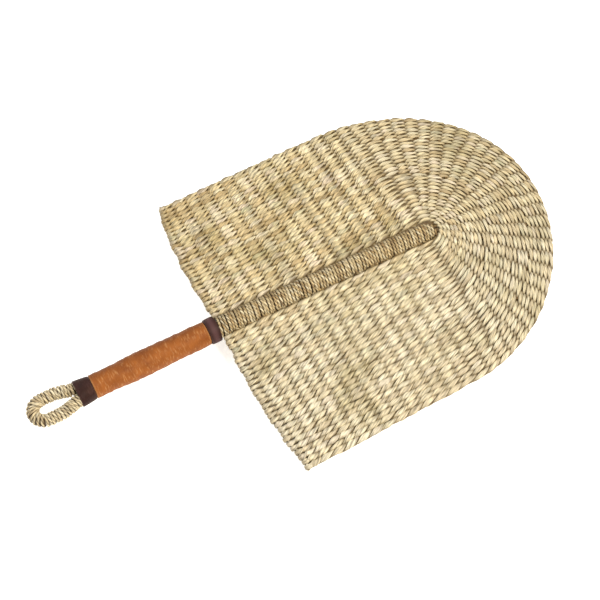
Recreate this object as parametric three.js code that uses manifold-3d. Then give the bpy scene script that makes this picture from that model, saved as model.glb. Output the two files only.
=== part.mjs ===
// Hand fan of twined grass: a domed blade of U-shaped weft rows over spokes, a wrapped spine,
// a leather grip between two dark leather bands, and a wrapped hanging loop. Millimetres, +Z up.
// It is drawn with X along the handle, X = 0 where the round end of the blade starts
// and Z = 0 on the spine's axis, and is then set down on the two straight sides of its outermost row.
import * as THREE from "three";
import { mergeVertices } from "three/addons/utils/BufferGeometryUtils.js";
import Module from "manifold-3d";

// Blade
const bladeHalfWidth = 130;
const baseFlare = 2.5;
const spineHalfWidth = 9;
const sideLength = 151.2;
const cornerSetback = 7.2;
const baseBow = 4.8;
const crownDrop = 15.7;
const innerTurnX = 34;
const rowCount = 29;
const rowGap = 0.35;
const weftThickness = 1.7;
const endRound = 1.3;
const turnSteps = 12;

// Spokes between the front and back of every row
const spokeThickness = 2.4;
const layerClearance = 0.45;
const crossSpokeCount = 15;
const firstSpokeInset = 10.2;
const spokeLeanReach = 4.8;
const spokeLeanLength = 60;
const spokeEndInset = 3;
const crossSteps = 10;
const fanSetback = 4;
const fanRootRadius = 3.6;
const fanRootWidth = 0.9;
const fanFullRadius = 8;
const fanStems = [
  [1, 1, 1, 1, 1, 1],
  [2, 2, 2, 2, 2, 2],
  [3, 4, 3, 4, 3, 4],
  [5, 5, 5, 5, 5, 5],
];
const forkOffsets = [18, 60, 99];
const forkLength = 10;
const forkLap = 1;
const forkTolerance = 0.05;

// Handle core and the winding along the spine
const handleRadius = 7.9;
const spineRadius = 5.8;
const spineTipReach = 6;
const coreLap = 2.3;
const coreShoulder = 3;
const coreSides = 24;
const slotLead = 2;
const wrapThickness = 2;
const wrapClearance = 0.2;
const wrapSideClearance = 0.6;
const wrapSteps = 12;

// Leather grip and its two bands
const fitClearance = 0.4;
const buttGap = 0.3;
const gripLength = 98.3;
const gripThickness = 1.4;
const gripSwell = 0.7;
const gripSteps = 8;
const frontBandThickness = 1.9;
const rearBandThickness = 1.1;
const bandRound = 0.5;
const bladeGap = 0.9;
const frontBandLength = 8.7;
const rearBandLength = 12.7;
const mouthHalfWidth = 10.65;
const mouthHalfHeight = 7.6;
const mouthDepth = 2.5;
const mouthWall = 0.9;

// Hanging loop
const loopReach = 36.9;
const loopTurnRadius = 9.4;
const loopMouthHalfGap = 5.35;
const loopEndHalfGap = 3.3;
const loopSpreadLead = 1.5;
const loopSpreadLength = 16;
const loopSpreadSteps = 5;
const loopCordRadius = 2.9;
const loopCordSides = 8;
const loopTurnSteps = 14;
const loopStrandRadius = 0.95;
const loopStrandClearance = 0.3;
const loopWraps = 24;
const loopWrapSteps = 10;
const loopStrandSides = 5;

const wasm = await Module();
wasm.setup();

const slotHalf = spokeThickness / 2 + layerClearance;
const rowPitch = (bladeHalfWidth - spineHalfWidth) / rowCount;
const spineTipX = innerTurnX + spineTipReach;
const fanX = spineTipX - fanSetback;
const firstSpokeX = firstSpokeInset - sideLength;
const spokePitch = (fanX - firstSpokeX) / crossSpokeCount;
const lastSpokeX = fanX - spokePitch;

// Places along the handle, from the blade back to the loop
const frontBandFrontX = -sideLength - bladeGap;
const frontBandRearX = frontBandFrontX - frontBandLength;
const gripEndX = frontBandRearX - buttGap;
const gripStartX = gripEndX - gripLength;
const rearBandFrontX = gripStartX - buttGap;
const rearBandRearX = rearBandFrontX - rearBandLength;
const coreRearX = rearBandFrontX - coreLap;
const loopTipX = rearBandRearX - loopReach;

const share = (offset) => (offset - spineHalfWidth) / (bladeHalfWidth - spineHalfWidth);
const mix = (a, b, t) => a + (b - a) * t;
const turnCentre = (offset) => innerTurnX * (1 - share(offset));
const baseX = (offset) => {
  const f = share(offset);
  return cornerSetback * f - sideLength - 4 * baseBow * f * (1 - f);
};
const baseY = (offset) => offset + baseFlare * share(offset);
const crown = (y) => -crownDrop * (y / bladeHalfWidth) ** 2;

// A closed mesh from rings of points, each joined to the next; an open run gets flat ends.
function loft(rings, closed = false) {
  const n = rings[0].length;
  const points = rings.flat().flatMap((p) => [p.x, p.y, p.z]);
  const index = [];
  const last = closed ? rings.length : rings.length - 1;
  for (let i = 0; i < last; i++) {
    for (let k = 0; k < n; k++) {
      const a = i * n + k;
      const b = i * n + ((k + 1) % n);
      const c = ((i + 1) % rings.length) * n + k;
      const d = ((i + 1) % rings.length) * n + ((k + 1) % n);
      index.push(a, b, d, a, d, c);
    }
  }
  if (!closed) {
    const end = (rings.length - 1) * n;
    for (let k = 1; k < n - 1; k++) {
      index.push(0, k + 1, k, end, end + k, end + k + 1);
    }
  }
  return facingOut(points, index);
}

// The same triangles, turned round if they enclose a negative volume.
function facingOut(points, index) {
  let volume = 0;
  const at = (i) => new THREE.Vector3().fromArray(points, 3 * i);
  for (let i = 0; i < index.length; i += 3) {
    volume += at(index[i]).dot(at(index[i + 1]).cross(at(index[i + 2])));
  }
  if (volume < 0) {
    for (let i = 0; i < index.length; i += 3) {
      [index[i + 1], index[i + 2]] = [index[i + 2], index[i + 1]];
    }
  }
  const geometry = new THREE.BufferGeometry();
  geometry.setAttribute("position", new THREE.Float32BufferAttribute(points, 3));
  geometry.setIndex(index);
  return geometry;
}

function toManifold(geometry) {
  const plain = geometry.clone();
  plain.deleteAttribute("normal");
  plain.deleteAttribute("uv");
  const merged = mergeVertices(plain, 1e-4);
  const vertProperties = new Float32Array(merged.attributes.position.array);
  const triVerts = new Uint32Array(merged.index.array);
  return new wasm.Manifold(new wasm.Mesh({ numProp: 3, vertProperties, triVerts }));
}

function fromManifold(solid) {
  const mesh = solid.getMesh();
  const geometry = new THREE.BufferGeometry();
  geometry.setAttribute("position", new THREE.BufferAttribute(new Float32Array(mesh.vertProperties), 3));
  geometry.setIndex(new THREE.BufferAttribute(new Uint32Array(mesh.triVerts), 1));
  return geometry;
}

// Rings about X from [x, radius] or [x, half width, half height], and a sleeve with an outer and an inner profile.
function turned(profile, sides) {
  return profile.map(([x, radius, height = radius]) => {
    const ring = [];
    for (let k = 0; k < sides; k++) {
      const angle = (2 * Math.PI * k) / sides;
      ring.push(new THREE.Vector3(x, radius * Math.cos(angle), height * Math.sin(angle)));
    }
    return ring;
  });
}

function sleeve(outer, inner, sides) {
  return loft(turned([...outer, ...[...inner].reverse()], sides), true);
}

// Least distance between stations of a winding that are half a loop or more apart.
function leastSelfGap(rings, steps) {
  let least = Infinity;
  for (let i = 0; i < rings.length; i++) {
    for (let j = i + Math.ceil(steps / 2); j < Math.min(rings.length, i + 2 * steps); j++) {
      for (const p of rings[i]) {
        for (const q of rings[j]) {
          least = Math.min(least, p.distanceTo(q));
        }
      }
    }
  }
  return least;
}

const straw = new THREE.MeshStandardMaterial({ color: 0xd9c28d, roughness: 0.8, metalness: 0 });
const stem = new THREE.MeshStandardMaterial({ color: 0xb79a63, roughness: 0.85, metalness: 0 });
const windingStraw = new THREE.MeshStandardMaterial({ color: 0xb4976a, roughness: 0.8, metalness: 0 });
const tanLeather = new THREE.MeshStandardMaterial({ color: 0xb96a2c, roughness: 0.55, metalness: 0 });
const darkLeather = new THREE.MeshStandardMaterial({ color: 0x402a27, roughness: 0.6, metalness: 0 });

const fan = new THREE.Group();
fan.name = "twined_grass_fan";
function add(name, geometry, material) {
  const mesh = new THREE.Mesh(geometry, material);
  mesh.name = name;
  fan.add(mesh);
}
const numbered = (stemName, i) => `${stemName}_${String(i + 1).padStart(2, "0")}`;

// A point of a row edge on its straight side, a given way in from the base edge.
function sidePoint(offset, side, inwards, z) {
  const start = new THREE.Vector3(baseX(offset), side * baseY(offset), 0);
  const end = new THREE.Vector3(turnCentre(offset), side * offset, 0);
  const run = end.clone().sub(start).normalize();
  return start.addScaledVector(run, inwards).setZ(crown(offset) + z);
}

function turnPoint(offset, angle, z) {
  const y = offset * Math.sin(angle);
  return new THREE.Vector3(turnCentre(offset) + offset * Math.cos(angle), y, crown(y) + z);
}

// Weft rows: each goes along the front, round the base spoke and back along the rear, as one ring.
// The outermost row has a level underside, which the fan lies on.
function weftRow(i) {
  const inner = spineHalfWidth + rowPitch * i + rowGap / 2;
  const outer = spineHalfWidth + rowPitch * (i + 1) - rowGap / 2;
  const skin = slotHalf + weftThickness;
  const level = i === rowCount - 1;
  const section = (place, face) => {
    const ring = [
      place(inner, face * skin),
      place(outer, face * skin),
      place(outer, face * slotHalf),
      place(inner, face * slotHalf),
    ];
    if (level && face < 0) {
      ring[0].z = ring[1].z;
    }
    return ring;
  };
  const endSection = (side, face) => {
    const ring = section((offset, z) => sidePoint(offset, side, endRound, z), face);
    ring[2] = sidePoint(outer, side, weftThickness + endRound / 2, face * slotHalf);
    ring[3] = sidePoint(inner, side, weftThickness + endRound / 2, face * slotHalf);
    return ring;
  };
  const capSection = (side, face) => [
    sidePoint(inner, side, 0, face * (skin - endRound)),
    sidePoint(outer, side, 0, face * (skin - endRound)),
    sidePoint(outer, side, weftThickness, face * (slotHalf - endRound / 2)),
    sidePoint(inner, side, weftThickness, face * (slotHalf - endRound / 2)),
  ];
  const turn = (face) => {
    const rings = [];
    for (let k = 0; k <= turnSteps; k++) {
      const angle = Math.PI / 2 - (Math.PI * k) / turnSteps;
      rings.push(section((offset, z) => turnPoint(offset, angle, z), face));
    }
    return rings;
  };
  return loft(
    [
      endSection(1, 1),
      ...turn(1),
      endSection(-1, 1),
      capSection(-1, 1),
      capSection(-1, -1),
      endSection(-1, -1),
      ...turn(-1).reverse(),
      endSection(1, -1),
      capSection(1, -1),
      capSection(1, 1),
    ],
    true,
  );
}
for (let i = 0; i < rowCount; i++) {
  add(numbered("weft_row", i), weftRow(i), straw);
}

// Where a row edge lies at a given X, and the height of the spoke layer at a point of the blade.
function edgeY(offset, x) {
  const centre = turnCentre(offset);
  if (x > centre) {
    return Math.sqrt(offset ** 2 - (x - centre) ** 2);
  }
  return mix(offset, baseY(offset), (centre - x) / (centre - baseX(offset)));
}
function layerZ(x, y) {
  let offset = Math.max(Math.abs(y), spineHalfWidth);
  for (let k = 0; k < 6; k++) {
    const centre = turnCentre(offset);
    if (x > centre) {
      return crown(y);
    }
    const flare = baseFlare * share(offset);
    offset = Math.max(Math.abs(y) - flare * ((centre - x) / (centre - baseX(offset))), 0);
  }
  return crown(offset);
}

// Cross spokes run from edge to edge through the split spine.
function squareRod(stations) {
  return loft(
    stations.map(({ x, y, across, width }) => {
      const half = width / 2;
      const z = layerZ(x, y);
      const ring = [];
      for (const [a, b] of [
        [-1, -1],
        [1, -1],
        [1, 1],
        [-1, 1],
      ]) {
        const corner = new THREE.Vector3(across.x, across.y, 0).multiplyScalar(a * half);
        ring.push(corner.add(new THREE.Vector3(x, y, z + (b * spokeThickness) / 2)));
      }
      return ring;
    }),
  );
}
// Near the base they lean with its edge, and further on they run straight across.
const spokeLean = (x) => spokeLeanReach * Math.max(0, 1 - (x - firstSpokeX) / spokeLeanLength);
const spokeX = (x, y) => x + spokeLean(x) * Math.max(0, share(Math.abs(y)));
for (let i = 0; i < crossSpokeCount; i++) {
  const x = firstSpokeX + spokePitch * i;
  const reach = edgeY(bladeHalfWidth, spokeX(x, bladeHalfWidth)) - spokeEndInset;
  const across = new THREE.Vector2(1, 0);
  const stations = [];
  for (let k = 0; k <= crossSteps; k++) {
    const y = mix(-reach, reach, k / crossSteps);
    stations.push({ x: spokeX(x, y), y, across, width: spokeThickness });
  }
  add(numbered("cross_spoke", i), squareRod(stations), stem);
}

// Tip spokes fan out from the split end of the spine, and new ones fork off on the way to the rim.
const rimAngle = Math.acos(lastSpokeX / bladeHalfWidth);
function stemAngles(stems) {
  const total = stems.reduce((sum, count) => sum + count, 0);
  let n = 0;
  return stems.map((count) =>
    Array.from({ length: count }, () => {
      n += 1;
      return -rimAngle + (2 * rimAngle * n) / (total + 1);
    }),
  );
}
const fanAngles = fanStems.map(stemAngles);
const inPlan = (offset, angle) => {
  const p = turnPoint(offset, angle, 0);
  return new THREE.Vector2(p.x, p.y);
};
function bentRod(points, widthAt) {
  const stations = points.map((p, i) => {
    const run = points[Math.min(i + 1, points.length - 1)].clone();
    run.sub(points[Math.max(i - 1, 0)]).normalize();
    return { x: p.x, y: p.y, across: new THREE.Vector2(-run.y, run.x), width: widthAt(p) };
  });
  return toManifold(squareRod(stations));
}
const fullWidth = () => spokeThickness;
for (let i = 0; i < fanStems[0].length; i++) {
  const centre = new THREE.Vector2(fanX, 0);
  const fork = inPlan(forkOffsets[0], fanAngles[0][i][0]);
  const run = fork.clone().sub(centre).normalize();
  const root = centre.clone().addScaledVector(run, fanRootRadius);
  const full = centre.clone().addScaledVector(run, fanFullRadius);
  const taper = (p) => {
    const t = (p.distanceTo(centre) - fanRootRadius) / (fanFullRadius - fanRootRadius);
    return mix(fanRootWidth, spokeThickness, Math.min(Math.max(t, 0), 1));
  };
  let tree = bentRod([root, full, fork], taper);
  let ends = [fork];
  for (let level = 1; level < fanStems.length; level++) {
    const shoulderOffset = forkOffsets[level - 1] + forkLength;
    const endOffset = forkOffsets[level] ?? bladeHalfWidth - spokeEndInset;
    const angles = fanAngles[level][i];
    const grown = [];
    for (let stemIndex = 0; stemIndex < angles.length; stemIndex++) {
      const parent = ends[Math.floor((stemIndex * ends.length) / angles.length)];
      const shoulder = inPlan(shoulderOffset, angles[stemIndex]);
      const end = inPlan(endOffset, angles[stemIndex]);
      const lapped = parent.clone().lerp(shoulder, -forkLap / parent.distanceTo(shoulder));
      tree = tree.add(bentRod([lapped, shoulder, end], fullWidth));
      grown.push(end);
    }
    ends = grown;
  }
  add(numbered("tip_spoke", i), fromManifold(tree.simplify(forkTolerance)), stem);
}

// Handle core: a round bundle under the grip that narrows to the spine, which is split to take the spokes.
const coreProfile = [
  [coreRearX, handleRadius],
  [frontBandFrontX - coreShoulder, handleRadius],
  [frontBandFrontX, spineRadius],
  [spineTipX - spineRadius / 3, spineRadius],
  [spineTipX, (spineRadius * 2) / 3],
];
const slotStart = firstSpokeX - spokeThickness / 2 - slotLead;
const slotBox = new THREE.BoxGeometry(spineTipX + slotLead - slotStart, 4 * spineRadius, 2 * slotHalf);
slotBox.translate((spineTipX + slotLead + slotStart) / 2, 0, 0);
const coreBlank = toManifold(loft(turned(coreProfile, coreSides)));
add("handle_core", fromManifold(coreBlank.subtract(toManifold(slotBox))), stem);

// Spine winding: one strand that passes each side of the spine between two spokes,
// straight over the top and on to the next gap underneath.
const wrapGaps = [];
for (let i = 0; i <= crossSpokeCount; i++) {
  const spokeGap = spokePitch - spokeThickness;
  const to = firstSpokeX + spokePitch * i - spokeThickness / 2;
  const from = Math.max(to - spokeGap, frontBandFrontX);
  wrapGaps.push({ x: (from + to) / 2, width: to - from - 2 * wrapSideClearance });
}
const wrapInner = (spineRadius + wrapClearance) / Math.cos(Math.PI / wrapSteps);
const wrapOuter = wrapInner + wrapThickness;
const smooth = (t) => t * t * (3 - 2 * t);
function wrapAt(turnShare) {
  const loop = Math.min(Math.floor(turnShare), wrapGaps.length - 1);
  const under = smooth(Math.min(Math.max(2 * (turnShare - loop) - 1, 0), 1));
  const here = wrapGaps[loop];
  const next = wrapGaps[Math.min(loop + 1, wrapGaps.length - 1)];
  return { x: mix(here.x, next.x, under), wrapWidth: mix(here.width, next.width, under) };
}
const wrapRings = [];
const wrapStations = (wrapGaps.length - 0.5) * wrapSteps;
for (let k = 0; k <= wrapStations; k++) {
  const turnShare = k / wrapSteps;
  const angle = 2 * Math.PI * turnShare;
  const { x, wrapWidth } = wrapAt(turnShare);
  const ring = [];
  for (const [a, b] of [
    [-0.5, 0],
    [0.5, 0],
    [0.5, 0.55],
    [0.28, 1],
    [-0.28, 1],
    [-0.5, 0.55],
  ]) {
    const radius = mix(wrapInner, wrapOuter, b);
    ring.push(new THREE.Vector3(x + a * wrapWidth, radius * Math.cos(angle), radius * Math.sin(angle)));
  }
  wrapRings.push(ring);
}
add("spine_wrap", loft(wrapRings), windingStraw);

// Leather: a tan sleeve on the grip, butted between two dark bands.
const sleeveInner = handleRadius + fitClearance;
const gripOuter = sleeveInner + gripThickness;
const gripProfile = [];
for (let k = 0; k <= gripSteps; k++) {
  const t = k / gripSteps;
  gripProfile.push([mix(gripStartX, gripEndX, t), gripOuter + gripSwell * Math.sin(Math.PI * t) ** 2]);
}
const bore = (from, to) => [
  [from, sleeveInner],
  [to, sleeveInner],
];
add("grip_leather", sleeve(gripProfile, bore(gripStartX, gripEndX), coreSides), tanLeather);
const frontOuter = sleeveInner + frontBandThickness;
const frontProfile = [
  [frontBandRearX, frontOuter - bandRound],
  [frontBandRearX + bandRound, frontOuter],
  [frontBandFrontX - bandRound, frontOuter],
  [frontBandFrontX, frontOuter - bandRound],
];
add("front_band", sleeve(frontProfile, bore(frontBandRearX, frontBandFrontX), coreSides), darkLeather);

// The rear band widens to an oval mouth, which the two legs of the loop come out of side by side.
const rearOuter = sleeveInner + rearBandThickness;
const mouthOuter = [mouthHalfWidth + mouthWall, mouthHalfHeight + mouthWall];
const rearProfile = [
  [rearBandRearX, mouthOuter[0] - bandRound, mouthOuter[1] - bandRound],
  [rearBandRearX + bandRound, ...mouthOuter],
  [rearBandFrontX - bandRound, rearOuter],
  [rearBandFrontX, rearOuter - bandRound],
];
const rearBore = [
  [rearBandRearX, mouthHalfWidth, mouthHalfHeight],
  [rearBandRearX + mouthDepth, mouthHalfWidth, mouthHalfHeight],
  ...bore(coreRearX, rearBandFrontX),
];
add("rear_band", sleeve(rearProfile, rearBore, coreSides), darkLeather);

// Hanging loop: a bent cord with a strand wound round it. Its bare ends come together inside the rear band.
const turnX = loopTipX + loopTurnRadius;
const flat = (x, y) => new THREE.Vector3(x, y, 0);
const windingX = rearBandRearX + mouthDepth - fitClearance;
const spreadX = rearBandRearX - loopSpreadLead;
const legEndX = coreRearX - buttGap;
const loopLeg = [
  flat(legEndX, loopEndHalfGap),
  flat(legEndX - loopCordRadius, loopEndHalfGap),
  flat(windingX, loopMouthHalfGap),
];
for (let k = 0; k < loopSpreadSteps; k++) {
  const t = k / loopSpreadSteps;
  const halfGap = mix(loopMouthHalfGap, loopTurnRadius, Math.sin((Math.PI / 2) * t));
  loopLeg.push(flat(spreadX - loopSpreadLength * t, halfGap));
}
loopLeg.push(flat(spreadX - loopSpreadLength, loopTurnRadius));
const loopLine = [...loopLeg];
for (let k = 0; k <= loopTurnSteps; k++) {
  const angle = mix(Math.PI / 2, (3 * Math.PI) / 2, k / loopTurnSteps);
  loopLine.push(flat(turnX + loopTurnRadius * Math.cos(angle), loopTurnRadius * Math.sin(angle)));
}
loopLine.push(...[...loopLeg].reverse().map((p) => flat(p.x, -p.y)));
function tubeRings(centres, radius, sides, outwards) {
  return centres.map((p, i) => {
    const next = centres[Math.min(i + 1, centres.length - 1)];
    const run = next.clone().sub(centres[Math.max(i - 1, 0)]).normalize();
    const side = run.clone().cross(outwards(i)).normalize();
    const ring = [];
    for (let k = 0; k < sides; k++) {
      const angle = (2 * Math.PI * k) / sides;
      const point = p.clone().addScaledVector(side, radius * Math.cos(angle));
      ring.push(point.addScaledVector(side.clone().cross(run), radius * Math.sin(angle)));
    }
    return ring;
  });
}
const up = () => new THREE.Vector3(0, 0, 1);
add("loop_cord", loft(tubeRings(loopLine, loopCordRadius, loopCordSides, up)), stem);

// The strand starts and ends with a short straight run along the leg, just inside the mouth.
const strandReach = loopCordRadius + loopStrandClearance + loopStrandRadius;
const lengths = [0];
for (let i = 1; i < loopLine.length; i++) {
  lengths.push(lengths[i - 1] + loopLine[i].distanceTo(loopLine[i - 1]));
}
const loopLength = lengths[lengths.length - 1];
function alongLoop(s) {
  let i = 1;
  while (i < loopLine.length - 1 && lengths[i] < s) {
    i++;
  }
  const t = (s - lengths[i - 1]) / (lengths[i] - lengths[i - 1]);
  const p = loopLine[i - 1].clone().lerp(loopLine[i], t);
  const before = loopLine[Math.max(i - 2, 0)];
  const after = loopLine[Math.min(i + 1, loopLine.length - 1)];
  const runIn = loopLine[i].clone().sub(before).normalize();
  const runOut = after.clone().sub(loopLine[i - 1]).normalize();
  return { p, run: runIn.lerp(runOut, t).normalize() };
}
const strandLead = 2 * loopStrandRadius;
const strandCentres = [];
const strandOut = [];
function strandAt(s, angle) {
  const { p, run } = alongLoop(s);
  const out = flat(run.y, -run.x).multiplyScalar(Math.cos(angle)).setZ(Math.sin(angle));
  strandCentres.push(p.addScaledVector(out, strandReach));
  strandOut.push(out);
}
const strandStations = loopWraps * loopWrapSteps;
const strandStart = lengths[2];
const strandEnd = loopLength - strandStart;
strandAt(strandStart, 0);
for (let k = 0; k <= strandStations; k++) {
  const t = k / strandStations;
  strandAt(mix(strandStart + strandLead, strandEnd - strandLead, t), 2 * Math.PI * loopWraps * t);
}
strandAt(strandEnd, 0);
const strandRings = tubeRings(strandCentres, loopStrandRadius, loopStrandSides, (i) => strandOut[i]);
add("loop_wrap", loft(strandRings), windingStraw);

console.log(`spine winding clears itself by ${leastSelfGap(wrapRings, wrapSteps).toFixed(2)} mm`);
console.log(`loop winding clears itself by ${leastSelfGap(strandRings, loopWrapSteps).toFixed(2)} mm`);

// The origin is the middle of the space the fan takes up, at the height of the surface it lies on.
const box = new THREE.Box3().setFromObject(fan);
const middle = box.getCenter(new THREE.Vector3());
for (const mesh of fan.children) {
  mesh.geometry.translate(-middle.x, -middle.y, -box.min.z);
}

export default fan;
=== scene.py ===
import math

import bpy
import numpy as np
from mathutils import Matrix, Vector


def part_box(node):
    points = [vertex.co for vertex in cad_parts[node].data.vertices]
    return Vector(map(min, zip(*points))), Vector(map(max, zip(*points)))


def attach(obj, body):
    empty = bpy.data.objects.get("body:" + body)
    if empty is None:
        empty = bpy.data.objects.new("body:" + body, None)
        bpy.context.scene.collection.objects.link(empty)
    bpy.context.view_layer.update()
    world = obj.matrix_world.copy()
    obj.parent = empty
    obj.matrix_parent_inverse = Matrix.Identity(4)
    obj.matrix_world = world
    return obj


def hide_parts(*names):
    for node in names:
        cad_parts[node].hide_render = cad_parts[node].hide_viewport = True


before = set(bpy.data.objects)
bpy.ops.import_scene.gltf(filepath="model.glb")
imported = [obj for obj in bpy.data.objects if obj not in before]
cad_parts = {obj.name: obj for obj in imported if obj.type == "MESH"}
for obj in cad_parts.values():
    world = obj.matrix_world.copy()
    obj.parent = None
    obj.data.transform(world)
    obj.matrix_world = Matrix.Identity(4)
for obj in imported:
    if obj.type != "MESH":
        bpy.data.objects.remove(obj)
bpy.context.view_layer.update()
print("frame loaded,", len(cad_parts), "solids")

# sizes are in mm about the spine: X runs to the tip, X = 0 where the round end starts, Z = 0 on the axis
mmPerMetre = 1000
blade = {
    "halfWidth": 130.0,
    "baseFlare": (0.0, 5.0),    # how much wider at the base, on the +Y side and on the -Y side
    "spineHalf": 9.0,
    "sideLength": 151.2,
    "bandGap": 0.9,             # from the front band to the base edge beside the spine
    "cornerSetback": 7.2,
    "baseBow": 4.8,
    "crownDrop": 15.7,
    "innerTurn": 34.0,
    "rows": 29,
    "crossSpokes": 15,
    "firstSpoke": -141.0,
    "leanReach": 4.8,           # the first spoke leans this far at its ends
    "spokeLean": 60.0,          # spokes straighten over this length from the base
    "fanX": 36.0,
    "fanStems": (6, 12, 21, 30),    # that cross a row, before the forks and after each of them
    "forks": (18.0, 60.0, 99.0),
    "forkLength": 10.0,
    "stem": 2.4,
    "spineSway": (-0.6, -2.8),  # the spine leans aside, at the base and at its tip
}
bandLow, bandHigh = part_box("front_band")
spineShift = np.array([
    bandHigh.x * mmPerMetre + blade["sideLength"] + blade["bandGap"],
    0.0,
    (bandLow.z + bandHigh.z) / 2 * mmPerMetre,
])
rowPitch = (blade["halfWidth"] - blade["spineHalf"]) / blade["rows"]
spokePitch = (blade["fanX"] - blade["firstSpoke"]) / blade["crossSpokes"]
spokeXs = blade["firstSpoke"] + spokePitch * np.arange(blade["crossSpokes"])
tiny = 1e-9


# general helpers: an sRGB hex colour as linear light
def linear(hexColour):
    value = [int(hexColour[i : i + 2], 16) / 255 for i in (1, 3, 5)]
    return tuple(c / 12.92 if c <= 0.04045 else ((c + 0.055) / 1.055) ** 2.4 for c in value) + (1.0,)


# links and settings go by socket name or number: on a Mix node 0 is the share, 6 and 7 are the colours
def addNode(tree, kind, settings=None, links=None):
    node = tree.nodes.new(kind)
    for key, value in (settings or {}).items():
        if isinstance(key, str) and hasattr(node, key):
            setattr(node, key, value)
        else:
            node.inputs[key].default_value = value
    for key, output in (links or {}).items():
        tree.links.new(output, node.inputs[key])
    return node


def newMaterial(name):
    material = bpy.data.materials.new(name)
    material.use_nodes = True
    material.node_tree.nodes.clear()
    return material, material.node_tree


# spreads colours evenly over a ramp, from one position to another
def fillRamp(ramp, colours, first, last):
    stops = ramp.color_ramp.elements
    while len(stops) < len(colours):
        stops.new(0.5)
    for i, colour in enumerate(colours):
        stops[i].position = first + (last - first) * i / (len(colours) - 1)
        stops[i].color = linear(colour)


def unit(vectors):
    return vectors / np.maximum(np.linalg.norm(vectors, axis=-1, keepdims=True), tiny)


def smoothStep(t):
    t = np.clip(t, 0, 1)
    return t * t * (3 - 2 * t)


def mix(pair, part):
    return pair[0] + (pair[1] - pair[0]) * part


# 0 up to start, then rising to 1 over a length; ramped rises to an amount instead
def fadeIn(value, start, over):
    return smoothStep((value - start) / over)


def ramped(value, amount, start, over):
    return amount * fadeIn(value, start, over)


# a tube's surface: rings of points joined by quads, whose corners are steps along it and round it
tube = {
    "swellEvery": 4,        # rings from one swelling to the next
    "mostSwell": 0.2,
    "grooveEdge": 8,        # the higher, the narrower the groove in the flat sides
}
quadCorners = ((0, 0), (0, 1), (1, 1), (1, 0))
bakeMargin = {"ends": 0.004, "sides": 0.03, "cap": 0.002, "capSize": 0.001}


def gridFaces(rings, sides, closed):
    i = np.arange(rings if closed else rings - 1)[:, None]
    j = (i + 1) % rings
    k = np.arange(sides)[None, :]
    after = (k + 1) % sides
    return np.stack([i * sides + k, i * sides + after, j * sides + after, j * sides + k], -1)


# one strand: a flattened, uneven section carried along its line, thin way first
def strand(line, thinWay, wide, thick, sides, closed=False, uneven=0.0, groove=0.0, seed=1, **marks):
    if closed:
        run = np.roll(line, -1, 0) - np.roll(line, 1, 0)
    else:
        run = np.gradient(line, axis=0)
    run = unit(run)
    thinWay = unit(thinWay - run * (thinWay * run).sum(1, keepdims=True))
    wideWay = np.cross(run, thinWay)
    angle = 2 * np.pi * np.arange(sides) / sides
    ring = wideWay[:, None] * (np.cos(angle)[None, :, None] * np.reshape(wide, (-1, 1, 1)) / 2)
    ring = ring + thinWay[:, None] * (np.sin(angle)[None, :, None] * np.reshape(thick, (-1, 1, 1)) / 2)
    count = len(line)
    every, most = tube["swellEvery"], tube["mostSwell"]
    knots = np.random.default_rng(seed).normal(0, uneven, (count // every + 2, sides))
    at = np.arange(count) / every
    low = at.astype(int)
    swell = knots[low] + (knots[low + 1] - knots[low]) * (at - low)[:, None]
    swell = np.clip(swell, -most, most) - groove * np.abs(np.sin(angle)) ** tube["grooveEdge"]
    points = line[:, None] + ring * (1 + swell)[:, :, None]
    faces = gridFaces(count, sides, closed)
    i = np.arange(len(faces))[:, None]
    k = np.arange(sides)[None, :]
    # the grain layer is in mm along the strand and round it
    step = np.linalg.norm(np.roll(line, -1, 0) - line, axis=1)
    length = np.concatenate([[0], np.cumsum(step)])
    around = math.pi * float(np.mean(wide) + np.mean(thick)) / 2 / sides
    grain = [np.stack([length[i + a] + 0 * k, k * around + b * around + 0 * i], -1) for a, b in quadCorners]
    # the bake layer cuts a long strand into strips that lie side by side
    strips = max(1, int(round(math.sqrt(length[len(faces)] / (around * sides)))))
    perStrip = math.ceil(len(faces) / strips)
    ends, beside = bakeMargin["ends"], bakeMargin["sides"]
    bake = np.empty((len(faces), sides, 4, 2))
    for corner, (a, b) in enumerate(quadCorners):
        bake[:, :, corner, 0] = ends + (1 - 2 * ends) * ((i % perStrip) + a) / perStrip
        bake[:, :, corner, 1] = ((i // perStrip) + beside + (1 - 2 * beside) * (k + b) / sides) / strips
    caps = []
    if not closed:
        caps = [tuple(range(sides)), tuple(range((count - 1) * sides, count * sides))[::-1]]
    perRing = {key: np.reshape(value, (-1, 1)) * np.ones((count, 1)) for key, value in marks.items()}
    return {
        "points": points.reshape(-1, 3),
        "faces": faces.reshape(-1, 4),
        "caps": caps,
        "grain": np.stack(grain, 2).reshape(-1, 4, 2),
        "bake": bake.reshape(-1, 4, 2),
        "marks": {key: np.repeat(value, sides, 1).ravel() for key, value in perRing.items()},
    }


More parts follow.
